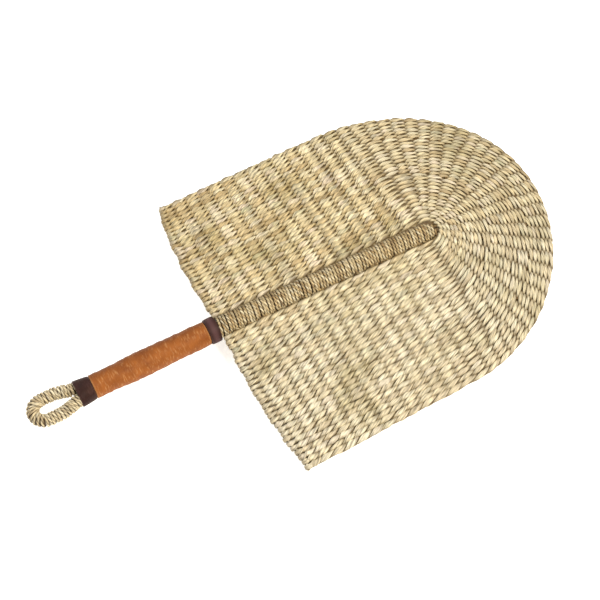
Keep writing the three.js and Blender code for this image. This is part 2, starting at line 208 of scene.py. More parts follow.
# joins strands or skins into one object, in metres in the part's frame
def makePiece(name, strands, material, replaced):
    points, faces, grain, bake, marks, start = [], [], [], [], {}, 0
    for index, one in enumerate(strands):
        quads = [tuple(q) for q in (one["faces"][:, ::-1] + start).tolist()]
        faces += quads + [tuple(v + start for v in cap) for cap in one["caps"]]
        points.append(one["points"])
        places = one["bake"].copy()
        places[..., 1] = (index + places[..., 1]) / len(strands)
        grain.append(one["grain"][:, ::-1].reshape(-1, 2))
        bake.append(places[:, ::-1].reshape(-1, 2))
        for cap in one["caps"]:
            turn = np.arange(len(cap))
            spotX = bakeMargin["cap"] + bakeMargin["capSize"] * np.cos(turn)
            spotY = (index + 0.5) / len(strands) + bakeMargin["capSize"] * np.sin(turn)
            grain.append(np.zeros((len(cap), 2)))
            bake.append(np.stack([spotX, spotY], -1))
        for key, value in one["marks"].items():
            marks.setdefault(key, []).append(value)
        start += len(one["points"])
    points = (np.concatenate(points) + spineShift) / mmPerMetre
    mesh = bpy.data.meshes.new(name)
    mesh.from_pydata(points.tolist(), [], faces)
    for layerName, data in (("grain", grain), ("OFBake", bake)):
        layer = mesh.uv_layers.new(name=layerName)
        layer.data.foreach_set("uv", np.concatenate(data).astype(np.float32).ravel())
    mesh.uv_layers["grain"].active_render = True
    for key, value in marks.items():
        attribute = mesh.attributes.new(key, "FLOAT", "POINT")
        attribute.data.foreach_set("value", np.concatenate(value).astype(np.float32))
    mesh.polygons.foreach_set("use_smooth", np.ones(len(mesh.polygons), bool))
    mesh.materials.append(material)
    mesh.update()
    piece = bpy.data.objects.new(name, mesh)
    bpy.context.scene.collection.objects.link(piece)
    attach(piece, "root")
    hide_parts(*replaced)


# sun-dried savanna grass, twisted by hand: matt and streaked along its fibres,
# cream to straw with rosy and grey-green blades
def driedGrass(name, look):
    material, tree = newMaterial(name)
    tone = addNode(tree, "ShaderNodeAttribute", {"attribute_name": "tone"})
    crease = addNode(tree, "ShaderNodeAttribute", {"attribute_name": "crease"})
    ramp = addNode(tree, "ShaderNodeValToRGB", None, {"Fac": tone.outputs["Fac"]})
    fillRamp(ramp, look["colours"], 0.0, 1.0)
    # fibres are about 0.3 mm wide, drawn 0.9 mm wide and 10 mm long so that they show
    fibreLength, fibreWidth = 10, 0.9
    grain = addNode(tree, "ShaderNodeUVMap", {"uv_map": "grain"})
    fibreMap = addNode(tree, "ShaderNodeMapping", {"Scale": (1 / fibreLength, 1 / fibreWidth, 1)},
                       {"Vector": grain.outputs["UV"]})
    fibre = addNode(tree, "ShaderNodeTexNoise", {"Scale": 1.0, "Detail": 3.0, "Roughness": 0.6},
                    {"Vector": fibreMap.outputs["Vector"]})
    streakLow, streakHigh = look["streak"]
    streak = addNode(tree, "ShaderNodeMapRange",
                     {"From Min": 0.34, "From Max": 0.64, "To Min": streakLow, "To Max": streakHigh},
                     {"Value": fibre.outputs["Fac"]})
    fade = addNode(tree, "ShaderNodeAttribute", {"attribute_name": "faded"})
    paleMix = addNode(tree, "ShaderNodeMix", {"data_type": "RGBA", 7: linear(look["faded"])},
                       {0: fade.outputs["Fac"], 6: ramp.outputs["Color"]})
    streaked = addNode(tree, "ShaderNodeMix", {"data_type": "RGBA", "blend_type": "MULTIPLY", 0: 1.0},
                       {6: paleMix.outputs[2], 7: streak.outputs["Result"]})
    # weathered patches some 30 mm across
    patchSize = 0.03
    place = addNode(tree, "ShaderNodeTexCoord")
    patch = addNode(tree, "ShaderNodeTexNoise", {"Scale": 1 / patchSize, "Detail": 2.0},
                    {"Vector": place.outputs["Object"]})
    patchShare = addNode(tree, "ShaderNodeMapRange", {"From Min": 0.5, "From Max": 0.72, "To Max": 0.6},
                         {"Value": patch.outputs["Fac"]})
    weathered = addNode(tree, "ShaderNodeMix",
                        {"data_type": "RGBA", "blend_type": "MULTIPLY", 7: linear(look["patch"])},
                        {0: patchShare.outputs["Result"], 6: streaked.outputs[2]})
    # painted shade: deep places are mixed towards a shade colour, as they lie in the shade of their neighbours
    shade = addNode(tree, "ShaderNodeMath", {"operation": "MULTIPLY", 1: look["shade"]},
                    {0: crease.outputs["Fac"]})
    colour = addNode(tree, "ShaderNodeMix", {"data_type": "RGBA", 7: linear(look["paintedShade"])},
                     {0: shade.outputs[0], 6: weathered.outputs[2]})
    bump = addNode(tree, "ShaderNodeBump", {"Strength": 0.6, "Distance": 0.0005},
                   {"Height": fibre.outputs["Fac"]})
    rough = addNode(tree, "ShaderNodeMapRange", {"To Min": 0.65, "To Max": 0.42},
                    {"Value": fibre.outputs["Fac"]})
    body = addNode(tree, "ShaderNodeBsdfPrincipled", {"IOR": 1.5, "Specular IOR Level": 0.5},
                   {"Base Color": colour.outputs[2], "Roughness": rough.outputs["Result"],
                    "Normal": bump.outputs["Normal"]})
    addNode(tree, "ShaderNodeOutputMaterial", None, {"Surface": body.outputs["BSDF"]})
    return material


weftGrass = driedGrass("driedGrassTwined", {
    "colours": ["#BDA371", "#D0B988", "#DAC798", "#E6D8B1", "#E0CCAD", "#C8C094"],
    "streak": (0.38, 1.25), "patch": "#C9C5A6", "paintedShade": "#604A26", "shade": 0.88, "faded": "#E2DCC8",
})
windingGrass = driedGrass("driedGrassWound", {
    "colours": ["#886B43", "#B29462", "#CEB480", "#E6D2A3", "#F1E3BE"],
    "streak": (0.44, 1.24), "patch": "#D2BF9A", "paintedShade": "#3E280F", "shade": 0.97, "faded": "#E8DBBC",
})


# peeled grass stems of the frame, smooth, and painted darker than the strands as shade, since they show only in
# the shaded gaps beside the spine
def peeledStem(name):
    material, tree = newMaterial(name)
    place = addNode(tree, "ShaderNodeTexCoord")
    # growth streaks 2.4 mm wide, with finer ones in them
    streakSize = 0.0024
    streak = addNode(tree, "ShaderNodeTexNoise", {"Scale": 1 / streakSize, "Detail": 4.0, "Distortion": 0.4},
                     {"Vector": place.outputs["Object"]})
    ramp = addNode(tree, "ShaderNodeValToRGB", None, {"Fac": streak.outputs["Fac"]})
    fillRamp(ramp, ["#4A381D", "#7C6238"], 0.3, 0.7)
    bump = addNode(tree, "ShaderNodeBump", {"Strength": 0.3, "Distance": 0.0003},
                   {"Height": streak.outputs["Fac"]})
    body = addNode(tree, "ShaderNodeBsdfPrincipled", {"Roughness": 0.6, "IOR": 1.5},
                   {"Base Color": ramp.outputs["Color"], "Normal": bump.outputs["Normal"]})
    addNode(tree, "ShaderNodeOutputMaterial", None, {"Surface": body.outputs["BSDF"]})
    return material


stemMaterial = peeledStem("peeledGrassStem")


# vegetable-tanned goatskin, dyed and stretched on wet: soft sheen, fine grain, creases across the handle
def wrappedSkin(name, look):
    material, tree = newMaterial(name)
    place = addNode(tree, "ShaderNodeTexCoord")
    mottleSize = 0.009
    mottle = addNode(tree, "ShaderNodeTexNoise", {"Scale": 1 / mottleSize, "Detail": 4.0, "Roughness": 0.6},
                     {"Vector": place.outputs["Object"]})
    ramp = addNode(tree, "ShaderNodeValToRGB", None, {"Fac": mottle.outputs["Fac"]})
    fillRamp(ramp, look["colours"], 0.28, 0.72)
    # scuffs lie across the handle, about 1 mm by 5 mm, and the cut edges are paler
    scuffWide, scuffLong = 0.0011, 0.0045
    scuffMap = addNode(tree, "ShaderNodeMapping", {"Scale": (1 / scuffWide, 1 / scuffLong, 1 / scuffLong)},
                       {"Vector": place.outputs["Object"]})
    scuff = addNode(tree, "ShaderNodeTexNoise", {"Scale": 1.0, "Detail": 2.0},
                    {"Vector": scuffMap.outputs["Vector"]})
    scuffed = addNode(tree, "ShaderNodeMapRange",
                      {"From Min": 0.54, "From Max": 0.74, "To Max": look["scuffed"]},
                      {"Value": scuff.outputs["Fac"]})
    # this mark holds the pale worn ends, and on the front band a painted highlight
    wornAndSheen = addNode(tree, "ShaderNodeAttribute", {"attribute_name": "wornAndSheen"})
    pale = addNode(tree, "ShaderNodeMath", {"operation": "MAXIMUM"},
                   {0: wornAndSheen.outputs["Fac"], 1: scuffed.outputs["Result"]})
    colour = addNode(tree, "ShaderNodeMix", {"data_type": "RGBA", 7: linear(look["wornAndSheen"])},
                     {0: pale.outputs[0], 6: ramp.outputs["Color"]})
    # this mark holds seam lines, and painted shade inside the turned-in ends and on the grip's +Y flank
    seamAndShade = addNode(tree, "ShaderNodeAttribute", {"attribute_name": "seamAndShade"})
    dark = addNode(tree, "ShaderNodeMix", {"data_type": "RGBA", 7: linear(look["seamAndShade"])},
                   {0: seamAndShade.outputs["Fac"], 6: colour.outputs[2]})
    # creases run round the handle, 1.6 mm apart; grain pits are 0.75 mm apart
    creasePitch, creaseLong, pitPitch = 0.0016, 0.009, 0.00075
    creaseMap = addNode(tree, "ShaderNodeMapping", {"Scale": (1 / creasePitch, 1 / creaseLong, 1 / creaseLong)},
                        {"Vector": place.outputs["Object"]})
    creases = addNode(tree, "ShaderNodeTexNoise", {"Scale": 1.0, "Detail": 2.0, "Distortion": 0.6},
                      {"Vector": creaseMap.outputs["Vector"]})
    pits = addNode(tree, "ShaderNodeTexVoronoi", {"Scale": 1 / pitPitch}, {"Vector": place.outputs["Object"]})
    creaseBump = addNode(tree, "ShaderNodeBump", {"Strength": look["creased"], "Distance": 0.0012},
                         {"Height": creases.outputs["Fac"]})
    bump = addNode(tree, "ShaderNodeBump", {"Strength": 0.12, "Distance": 0.0002},
                   {"Height": pits.outputs["Distance"], "Normal": creaseBump.outputs["Normal"]})
    rough = addNode(tree, "ShaderNodeMapRange", {"To Min": look["rough"][0], "To Max": look["rough"][1]},
                    {"Value": mottle.outputs["Fac"]})
    body = addNode(tree, "ShaderNodeBsdfPrincipled", {"IOR": 1.5, "Specular IOR Level": look["sheen"]},
                   {"Base Color": dark.outputs[2], "Roughness": rough.outputs["Result"],
                    "Normal": bump.outputs["Normal"]})
    addNode(tree, "ShaderNodeOutputMaterial", None, {"Surface": body.outputs["BSDF"]})
    return material


tanSkin = wrappedSkin("goatskinTanned", {
    "colours": ["#83450F", "#945218", "#A55F22"], "wornAndSheen": "#C08A55", "seamAndShade": "#5E300E",
    "creased": 0.45, "rough": (0.5, 0.7), "sheen": 0.25, "scuffed": 0.65,
})
darkSkin = wrappedSkin("goatskinDyedBrown", {
    "colours": ["#29150F", "#331C15", "#40261D"], "wornAndSheen": "#644545", "seamAndShade": "#180C08",
    "creased": 0.25, "rough": (0.45, 0.65), "sheen": 0.15, "scuffed": 0.2,
})
print("materials ready")


# blade surface: along runs 0 to 1 up one side, 1 to 2 round the tip, 2 to 3 down the other side
def share(offset):
    return (offset - blade["spineHalf"]) / (blade["halfWidth"] - blade["spineHalf"])


def turnCentre(offset):
    return blade["innerTurn"] * (1 - share(offset))


def baseX(offset):
    f = share(offset)
    return blade["cornerSetback"] * f - blade["sideLength"] - 4 * blade["baseBow"] * f * (1 - f)


# the weave follows the spine's lean, less and less towards the edges
def spineLean(x, y):
    upSpine = (x + blade["sideLength"]) / (blade["sideLength"] + blade["fanX"])
    lean = mix(blade["spineSway"], np.clip(upSpine, 0, 1))
    beyond = fadeIn(x, blade["fanX"], blade["halfWidth"] - blade["fanX"])
    return lean * (1 - beyond) * np.clip(1 - (y / blade["halfWidth"]) ** 2, 0, 1)


def bladePoint(along, offset):
    run = np.where(along < 1.5, along, 3 - along)
    side = np.where(along < 1.5, 1.0, -1.0)
    flare = np.where(along < 1.5, *blade["baseFlare"])
    straight = np.minimum(run, 1)
    angle = np.pi / 2 * (1 - np.clip(run - 1, 0, 0.5) / 0.5)
    x = baseX(offset) + (turnCentre(offset) - baseX(offset)) * straight + offset * np.cos(angle)
    y = np.where(run < 1, offset + flare * share(offset) * (1 - straight), offset * np.sin(angle))
    z = -blade["crownDrop"] * (np.where(run < 1, offset, y) / blade["halfWidth"]) ** 2
    return np.stack([x, y * side + spineLean(x, y), z], -1)


def bladeNormal(points):
    slope = 2 * blade["crownDrop"] * points[:, 1] / blade["halfWidth"] ** 2
    return unit(np.stack([0 * slope, slope, 1 + 0 * slope], -1))


# the way outwards across a row, for 1 mm of offset
def acrossRow(along, offset):
    return bladePoint(along, offset + 0.5) - bladePoint(along, offset - 0.5)


# angles at which the stems of the fan cross a row; a fork counts once it has half opened
rimAngle = math.acos(spokeXs[-1] / blade["halfWidth"])


def fanAngles(offset):
    level = sum(offset > fork + blade["forkLength"] / 2 for fork in blade["forks"])
    stems = blade["fanStems"][level]
    return -rimAngle + 2 * rimAngle * np.arange(1, stems + 1) / (stems + 1)


# weft rows: two strands cross between the spokes and float over them in turn, and join round the base edge
weft = {
    "stations": (0.0, 0.2, 0.36, 0.5, 0.64, 0.8),   # along a stitch, closer where the strands cross
    "sides": 8,
    "height": 2.1,              # of a float's middle above the spokes' middle
    "flat": 0.55,               # below 1 a float keeps its height for longer
    "slant": (1.15, 1.4),       # sideways reach of a float at its ends, on the +Y side and on the -Y side
    "slantCurve": 0.4,
    "edgeSlant": 0.45,          # share of it left at the base edge
    "fullSlant": (4.0, 16.0),   # where from the edge the rest comes in, and over what length
    "wide": (4.9, 4.0),         # on the straight sides, and round the tip where the weave is looser
    "loose": (0.8, 0.35),       # where along a row that starts, and over what share
    "pinch": (0.8, 0.74),       # share of the width left at a crossing
    "pinchCurve": 0.5,
    "thick": (2.8, 1.8),        # on edge at a crossing, and over a spoke
    "thickCurve": 0.7,
    "tuck": 0.2,                # how late a strand turns on edge as it dives
    "uneven": 0.07,
    "groove": 0.12,
    "seed": 7,
    "seedStep": 31,
}
# how much handwork strays from stitch to stitch
stray = {
    "spoke": (0.5, 1.2),        # along the row, and at most
    "sway": 0.25,
    "tilt": 0.2,
    "lift": 0.1,
    "fat": 0.12,
    "fatRange": (0.8, 1.22),
    "lean": 0.2,
}
# where the rows turn back at the base edge
baseEdge = {
    "inset": 3.0,               # last turn, in from the edge
    "insetRange": (1.9, 4.4),
    "insetStray": 0.2,
    "wave": 0.5,                # rows end further in and further out by turns
    "waveLength": 3.8,
    "waveStart": (0.0, 2.0),    # on the +Y side and on the -Y side
    "waveFrom": (12.0, 12.0),   # offset at which it starts, and over which it comes in
    "spineReach": 0.6,          # rows beside the spine reach further out
    "spineRows": (11.0, 12.0),
    "turnReach": 2.1,           # how far a turn bulges out
    "turnWide": 0.78,           # share of the strand's width
    "turnDive": (0.1, 0.25, 0.3, 0.25, 0.1),
}
# inner blades of grass pressed flat between the two strands; they are painted mostly in the shade colour, as
# painted shade in the gaps
pith = {
    "wide": 4.1,
    "thick": 0.7,
    "sides": 4,
    "every": 3,                 # of a row's stations
    "spineReach": 1.9,          # the first row's also closes the gap to the winding
    "tone": 0.3,
    # painted shade: share of the ribbon in the shade colour, in most rows and in the first one
    "crease": 0.9,
    "spineCrease": 0.6,
}
# painted shade, and a paler tone; threes give how much, from where and over what length
rowShade = {
    "shadeFrom": (0.4, 0.6),    # height below which a strand is in full shade, on the sides and round the tip
    "shadeOver": (1.8, 2.0),    # and over which the shade goes
    "shadeAside": (0.3, 0.36),  # share of it beside a float
    "shadeDive": 0.55,
    "paleMix": (0.4, -40.0, 110.0),    # paler and greyer tone towards -Y
    "paleTip": 0.15,
    "paintedShade": (0.6, 0.2, 0.5),            # painted shade where strands dive
    "edgeShade": (0.6, -1.5, 3.6),       # painted shade towards the base edge
    "seamShade": (0.95, 0.5, 1.3),       # painted shade towards the spine
    "rimShade": (1.0, -1.4, 2.4),        # painted shade towards the rim
    "rimSide": (0.85, -40.0, 60.0),     # the rim's painted shade comes in towards +Y
}


def rowStops(offset, random):
    centre, base = turnCentre(offset), baseX(offset)
    straight = centre - base
    total = 2 * straight + math.pi * offset
    half = []
    for x in spokeXs:
        x = x + blade["leanReach"] * share(offset) * max(0, 1 - (x - spokeXs[0]) / blade["spokeLean"])
        if x <= centre:
            half.append(x - base)
        else:
            half.append(straight + offset * (math.pi / 2 - math.acos((x - centre) / offset)))
    fan = [straight + offset * (math.pi / 2 - a) for a in fanAngles(offset)]
    stops = np.sort(np.array(half + [total - s for s in half] + fan))
    spread, most = stray["spoke"]
    stops = stops + np.clip(random.normal(0, spread, len(stops)), -most, most)
    waves = np.sin(offset / baseEdge["waveLength"] + np.array(baseEdge["waveStart"]))
    waves = baseEdge["wave"] * waves * fadeIn(offset, *baseEdge["waveFrom"])
    waves = waves - baseEdge["spineReach"] * (1 - fadeIn(offset, *baseEdge["spineRows"]))
    insets = baseEdge["inset"] + waves + random.normal(0, baseEdge["insetStray"], 2)
    first, last = np.clip(insets, *baseEdge["insetRange"])
    return np.concatenate([[first], stops, [total - last]]), straight, total


def alongAt(s, straight, total):
    return np.interp(s, [0, straight, total - straight, total], [0, 1, 2, 3])


# a blade of grass lasts a few stitches; most are straw, some are rosy, some grey-green
grassMix = {
    "stitches": (2, 8),
    "tones": (0.05, 0.22, 0.4, 0.56, 0.72, 0.9),
    "shares": (0.06, 0.22, 0.3, 0.2, 0.12, 0.1),
    "stray": 0.05,
}


def grassTones(count, random):
    tones = np.empty(count)
    at = 0
    while at < count:
        span = random.integers(*grassMix["stitches"])
        tones[at : at + span] = random.choice(grassMix["tones"], p=grassMix["shares"])
        at += span
    return np.clip(tones + random.normal(0, grassMix["stray"], count), 0, 1)


# marks on a row's points: painted shade between the strands, and a paler tone
def paintRowShade(row, twined, whole):
    base, dive, loose = whole["base"], whole["dive"], whole["loose"]
    depth = twined["points"].reshape(len(base), -1, 3) - base[:, None]
    height = np.abs((depth * bladeNormal(base)[:, None]).sum(-1))
    start, over, aside = (mix(rowShade[key], loose) for key in ("shadeFrom", "shadeOver", "shadeAside"))
    crease = 1 - fadeIn(height, start[:, None], over[:, None])
    crease = crease * (aside + (1 - aside) * smoothStep(dive / rowShade["shadeDive"]))[:, None]
    # the -Y half and the tip get a paler tone, and more painted shade where their strands dive
    faded = np.maximum(ramped(-base[:, 1], *rowShade["paleMix"]), rowShade["paleTip"] * loose)
    crease = np.maximum(crease, (faded * ramped(dive, *rowShade["paintedShade"]))[:, None])
    # painted shade on the outer side of the base edge
    crease = np.maximum(crease, ramped(-whole["inward"], *rowShade["edgeShade"])[:, None])
    # painted shade: a dark seam beside the spine, and a darker rim on the +Y side
    rim = (depth * whole["outward"][:, None]).sum(-1)
    if row == 0:
        crease = np.maximum(crease, ramped(-rim, *rowShade["seamShade"]))
    if row == blade["rows"] - 1:
        rimSide = ramped(base[:, 1], *rowShade["rimSide"])
        crease = np.maximum(crease, ramped(rim, *rowShade["rimShade"]) * rimSide[:, None])
    twined["marks"]["crease"] = crease.ravel()
    twined["marks"]["faded"] = np.repeat(faded, weft["sides"])


def twinedRow(row):
    random = np.random.default_rng(weft["seed"] + weft["seedStep"] * row)
    offset = blade["spineHalf"] + rowPitch * (row + 0.5)
    stops, straight, total = rowStops(offset, random)
    knots = np.arange(len(stops))
    t = np.append((knots[:-1, None] + np.array(weft["stations"])[None, :]).ravel(), knots[-1])
    s = np.interp(t, knots, stops)
    along = alongAt(s, straight, total)
    spread = np.linalg.norm(acrossRow(along, offset), axis=1)
    loose = fadeIn(np.minimum(along, 3 - along), *weft["loose"])
    wide, pinch = mix(weft["wide"], loose), mix(weft["pinch"], loose)
    slant = mix(weft["slant"], smoothStep(along - 1))
    slantShare = mix((weft["edgeSlant"], 1), fadeIn(np.minimum(s, total - s), *weft["fullSlant"]))

    def straying(middle, width):
        return random.normal(middle, width, len(knots))

    def halfOfPair(which):
        phase = np.pi * (t + which)
        sine, rise = np.sin(phase), np.cos(phase)
        sway = np.interp(t, knots, straying(0, stray["sway"]))
        tilt = (slant + np.interp(t, knots, straying(0, stray["tilt"]))) * slantShare
        lift = np.interp(t, knots, straying(1, stray["lift"]))
        fat = np.interp(t, knots, np.clip(straying(1, stray["fat"]), *stray["fatRange"]))
        lean = np.interp(t, knots, straying(0, stray["lean"]))
        across = offset + tilt * sine * np.abs(sine) ** weft["slantCurve"] + sway
        base = bladePoint(along, across)
        normal = bladeNormal(base)
        outward = unit(acrossRow(along, across))
        height = weft["height"] * lift * np.sign(rise) * np.abs(rise) ** weft["flat"]
        turn = phase - weft["tuck"] / 2 * np.sin(2 * phase) + lean
        return {
            "line": base + normal * height[:, None],
            "thinWay": normal * np.cos(turn)[:, None] + outward * np.sin(turn)[:, None],
            "wide": wide * fat * spread * (pinch + (1 - pinch) * np.abs(rise) ** weft["pinchCurve"]),
            "thick": mix(weft["thick"], np.abs(rise) ** weft["thickCurve"]),
            "tone": np.interp(t, knots, grassTones(len(knots), random)),
            "dive": 1 - np.abs(rise),
            "loose": loose,
            "base": base,
            "outward": outward,
            "inward": np.minimum(s - s[0], s[-1] - s),
        }

    # the turn round the base edge joins the front strand to the back one
    def edgeTurn(at, away):
        steps = len(baseEdge["turnDive"])
        swing = np.pi * np.arange(1, steps + 1) / (steps + 1)
        bulge = baseEdge["turnReach"] * np.sin(swing)
        base = bladePoint(alongAt(s[at] + away * bulge, straight, total), offset + 0 * swing)
        normal = bladeNormal(base)
        up = np.sign(np.cos(np.pi * t[at])) * np.cos(swing)
        here, middle = along[[at]], np.array([offset])
        run = unit(bladePoint(here, middle) - bladePoint(here - 0.01, middle))
        return {
            "line": base + normal * (weft["height"] * up)[:, None],
            "thinWay": normal * up[:, None] + run * (away * np.sin(swing))[:, None],
            "wide": np.full(steps, weft["wide"][0] * baseEdge["turnWide"]),
            "thick": np.full(steps, weft["thick"][1]),
            "tone": np.linspace(front["tone"][at], back["tone"][at], steps),
            "dive": np.array(baseEdge["turnDive"]),
            "loose": np.zeros(steps),
            "base": base,
            "outward": np.zeros((steps, 3)),
            "inward": -bulge,
        }

    front, back = halfOfPair(0), halfOfPair(1)
    ending, beginning = edgeTurn(-1, 1), edgeTurn(0, -1)
    whole = {key: np.concatenate([front[key], ending[key], back[key][::-1], beginning[key][::-1]])
             for key in front}
    twined = strand(whole["line"], whole["thinWay"], whole["wide"], whole["thick"], weft["sides"], closed=True,
                    uneven=weft["uneven"], groove=weft["groove"], seed=row, tone=whole["tone"])
    paintRowShade(row, twined, whole)
    reach = pith["wide"] + (pith["spineReach"] if row == 0 else 0)
    places = along[:: pith["every"]]
    middle = bladePoint(places, offset + (pith["wide"] - reach) / 2 + 0 * places)
    ribbon = strand(middle, bladeNormal(middle), reach * spread[:: pith["every"]], pith["thick"], pith["sides"],
                    tone=pith["tone"], crease=pith["spineCrease" if row == 0 else "crease"], faded=0.0)
    return [twined, ribbon]


for row in range(blade["rows"]):
    number = f"{row + 1:02d}"
    makePiece("weft_strands_" + number, twinedRow(row), weftGrass, ["weft_row_" + number])
print("weft rows twined:", blade["rows"])


# a grass string: two plies twisted together along a line, flat side outwards
twine = {
    "sides": 6,
    "every": 9.0,               # length from one change of twist, thickness or tone to the next
    "slip": 0.8,
    "fat": 0.1,
    "flat": 0.7,                # the plies lie this much closer, in and out
    "oval": 1.25,
    "uneven": 0.06,
    "sunk": (-0.12, 0.95),      # in plies: below this height in full shade, and over what height it goes
    "between": (0.25, 0.4),     # the same, outwards from between the plies
}


def twistedString(line, outward, make, seed):
    random = np.random.default_rng(seed)
    step = np.linalg.norm(np.diff(line, axis=0), axis=1)
    length = np.concatenate([[0], np.cumsum(step)])
    run = unit(np.gradient(line, axis=0))
    out = unit(outward - run * (outward * run).sum(1, keepdims=True))
    side = np.cross(run, out)
    knots = np.arange(0, length[-1] + twine["every"], twine["every"])
    slip = np.interp(length, knots, random.normal(0, twine["slip"], len(knots)))
    ply = make["ply"]
    sunkFrom, sunkOver, betweenFrom, betweenOver = (ply * n for n in twine["sunk"] + twine["between"])
    plies = []
    for which in range(2):
        angle = 2 * np.pi * length / make["twist"] + np.pi * which + slip
        way = side * np.cos(angle)[:, None] + out * (twine["flat"] * np.sin(angle))[:, None]
        fat = np.interp(length, knots, random.normal(1, twine["fat"], len(knots)))
        tone = np.interp(length, knots, np.clip(random.normal(*make["tones"], len(knots)), 0, 1))
        one = strand(line + way * make["apart"], way, ply * twine["oval"] * fat, ply * fat, twine["sides"],
                     uneven=twine["uneven"], seed=seed + which, tone=tone)
        offset = one["points"].reshape(len(line), -1, 3) - line[:, None]
        sunk = 1 - fadeIn((offset * out[:, None]).sum(-1), sunkFrom, sunkOver)
        between = 1 - fadeIn(np.linalg.norm(offset, axis=-1), betweenFrom, betweenOver)
        one["marks"]["crease"] = np.maximum(sunk, between).ravel()
        plies.append(one)
    return plies


# the spine's winding: two strings side by side, squeezed between the spokes where they pass the blade
winding = {
    "start": -151.3,
    "end": 39.4,
    "pitch": 5.0,               # of each string
    "radius": (8.0, 7.1),       # at the base and at the tip
    "taper": 0.7,
    "tipDraw": (3.4, 2.2),      # the last turns are drawn in over the core's end: how far, over how many
    "knotTurns": 0.5,
    "stray": 0.22,
    "unround": 0.14,
    "spokeRoom": 1.0,           # kept between a spoke and a string's middle
    "passing": (1.7, 0.9),      # height at which a string starts to step aside, and over what height
    "shadedFlank": (0.46, -0.1, 0.9),         # painted shade towards the +Y flank
    "paleMix": (0.08, -0.2, 0.9),      # painted light: paler towards the -Y flank
    "ply": 1.4,
    "apart": 0.6,
    "twist": 7.0,
    "tones": (0.6, 0.28),
    "stepsPerTurn": 44,
    "seed": 21,
    "seedStep": 5,
}


def spineWinding():
    plies = []
    turns = (winding["end"] - winding["start"]) / winding["pitch"]
    t = np.linspace(0, turns, int(turns * winding["stepsPerTurn"]) + 1)
    knots = np.arange(0, turns + 1, winding["knotTurns"])
    draw, drawTurns = winding["tipDraw"]
    passHeight, passOver = winding["passing"]
    room = blade["stem"] / 2 + winding["spokeRoom"]
    for which in range(2):
        random = np.random.default_rng(winding["seed"] + which)
        angle = -2 * np.pi * t + np.pi * which
        strayX = np.interp(t, knots, random.normal(0, winding["stray"], len(knots)))
        x = winding["start"] + winding["pitch"] * t + strayX
        radius = mix(winding["radius"], (t / turns) ** winding["taper"])
        radius = radius + np.interp(t, knots, random.normal(0, winding["unround"], len(knots)))
        radius = radius - draw * np.clip((t - turns + drawTurns) / drawTurns, 0, 1) ** 2
        height = radius * np.sin(angle)
        # beside a spoke the string steps over to its nearer side
        nearest = spokeXs[np.argmin(np.abs(x[:, None] - spokeXs[None, :]), 1)]
        away = x - nearest
        pushed = np.sign(away + tiny) * (room + np.abs(away) * (1 - room / (spokePitch / 2)))
        passing = smoothStep((passHeight - np.abs(height)) / passOver) * (np.abs(away) < spokePitch / 2)
        x = x + (pushed - away) * passing
        line = np.stack([x, radius * np.cos(angle) + spineLean(x, 0), height], -1)
        outward = np.stack([0 * x, np.cos(angle), np.sin(angle)], -1)
        strings = twistedString(line, outward, winding, winding["seed"] + winding["seedStep"] * which)
        # painted light and shade: the -Y flank is painted paler, the +Y flank darker
        flank = np.repeat(np.cos(angle), twine["sides"])
        for one in strings:
            shadedFlank = ramped(flank, *winding["shadedFlank"])
            one["marks"]["crease"] = np.maximum(one["marks"]["crease"], shadedFlank)
            one["marks"]["faded"] = ramped(-flank, *winding["paleMix"])
        plies += strings
    return plies


makePiece("spine_winding", spineWinding(), windingGrass, ["spine_wrap"])
print("spine wound")


# leather of the handle
handle = {
    "frontBand": (-160.8, -152.1),
    "grip": (-259.4, -161.1),
    "rearBand": (-272.4, -259.7),
    "inner": 8.3,
    "gripOuter": 9.65,
    "gripSwell": 0.65,
    "frontOuter": 10.15,
    "rearOuter": 9.4,
    "mouth": (11.5, 8.4),       # half width and half height where the loop comes out
    "legHalfGap": 5.35,
    "legLeast": 2.5,
    "around": 72,
    "rings": {"grip": 170, "frontBand": 26, "rearBand": 40},
    "edgeRound": (0.8, 0.55),   # cut edges are rounded over this length, by this much
    "turnedIn": 3.0,
    # painted shade inside the turned-in ends
    "insideDark": 0.8,
}


# a skin round the handle from its outline, turned in over both ends to the inner outline
def sleeveSkin(part, outline, inner):
    start, end = handle[part]
    around, inside = handle["around"], handle["turnedIn"]
    x = np.linspace(start, end, handle["rings"][part])
    angle = 2 * np.pi * np.arange(around) / around
    gridX, gridAngle = np.meshgrid(x, angle, indexing="ij")
    radius, wornAndSheen, seamAndShade = outline(gridX, gridAngle)
    roundLength, roundDrop = handle["edgeRound"]
    near = np.minimum(np.minimum(gridX - start, end - gridX), roundLength) / roundLength
    radius = radius - roundDrop * (1 - np.sqrt(np.clip(1 - (1 - near) ** 2, 0, 1)))
    firstInner, lastInner = (np.broadcast_to(edge, around) for edge in inner)
    stations = np.concatenate([[start + inside, start], x, [end, end - inside]])
    allX = np.repeat(stations[:, None], around, 1)
    allR = np.concatenate([[firstInner, firstInner], radius, [lastInner, lastInner]])
    pad = np.zeros((2, around))
    wornAndSheen = np.concatenate([pad, wornAndSheen, pad])
    # the turned-in insides are painted dark, as painted shade
    seamAndShade = np.concatenate([pad + handle["insideDark"], seamAndShade, pad + handle["insideDark"]])
    points = np.stack([allX, allR * np.cos(angle), allR * np.sin(angle)], -1)
    count = len(stations)
    i = np.arange(count - 1)[:, None]
    k = np.arange(around)[None, :]
    corner = np.stack([np.stack([(i + a) / (count - 1) + 0 * k, (k + b) / around + 0 * i], -1)
                       for a, b in quadCorners], 2).reshape(-1, 4, 2)
    return {
        "points": points.reshape(-1, 3),
        "faces": gridFaces(count, around, False).reshape(-1, 4),
        "caps": [],
        "grain": corner,        # every piece has this layer, but leather makes no use of it
        "bake": bakeMargin["ends"] + (1 - 2 * bakeMargin["ends"]) * corner,
        "marks": {"wornAndSheen": wornAndSheen.ravel(), "seamAndShade": seamAndShade.ravel()},
    }


